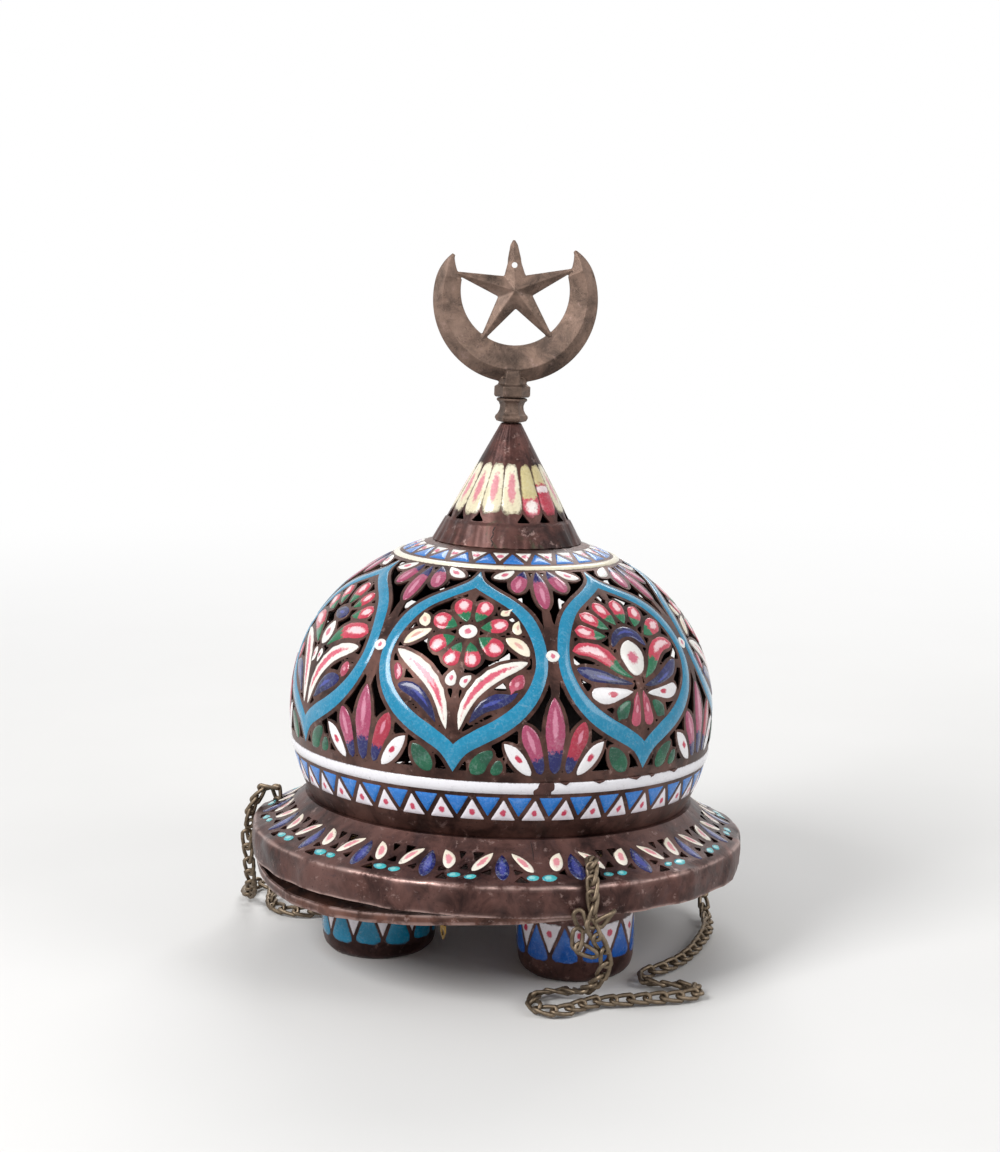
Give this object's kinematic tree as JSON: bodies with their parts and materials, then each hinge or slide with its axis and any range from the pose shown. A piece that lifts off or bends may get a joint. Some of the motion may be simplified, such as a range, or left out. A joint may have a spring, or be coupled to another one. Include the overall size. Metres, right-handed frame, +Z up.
{
  "type": "copper lantern",
  "caption": "Enamelled, pierced copper lantern: a domed canopy with a crescent and star finial, standing on a round tray with lamp cups and slack chains.",
  "frame": {"origin": "bottom centre of the box round everything but the chains, on the plane the cups stand on", "axes": "+Z up; the front of the crescent and the pictured side face -Y"},
  "size_m": [0.3163, 0.3013, 0.4254],
  "materials": {
    "dark_copper": "dark red-brown patinated copper sheet, rubbed lighter on edges",
    "enamel": "glossy enamel in white, turquoise, blue, rose and green between copper wires, over pierced copper sheet",
    "cup_enamel": "glossy blue and white enamel triangles on copper",
    "cast_metal": "dull grey-brown casting",
    "yellow_brass": "dull yellow brass",
    "chain_metal": "dull brown wire"
  },
  "bodies": {
    "lamp_tray": {"tray": "dark_copper", "cup_1": "cup_enamel", "lamp_collar_1": "yellow_brass", "cup_2": "cup_enamel", "lamp_collar_2": "yellow_brass", "cup_3": "cup_enamel", "lamp_collar_3": "yellow_brass", "chain_front_run": "chain_metal", "chain_left_run": "chain_metal", "chain_lug_1": "yellow_brass", "chain_lug_2": "yellow_brass", "chain_lug_3": "yellow_brass"},
    "canopy": {"brim": "dark_copper", "dome": "enamel", "cone_cap": "dark_copper", "finial_neck": "cast_metal", "finial_crescent_star": "cast_metal", "finial_rod": "cast_metal", "finial_washer": "yellow_brass", "finial_nut": "yellow_brass", "chain_front_top": "chain_metal", "chain_left_top": "chain_metal"}
  },
  "joints": [
    {"name": "canopy_lift", "type": "slide", "parent": "lamp_tray", "child": "canopy", "axis": [0, 0, 1], "range_m": [0, 0.4]}
  ]
}
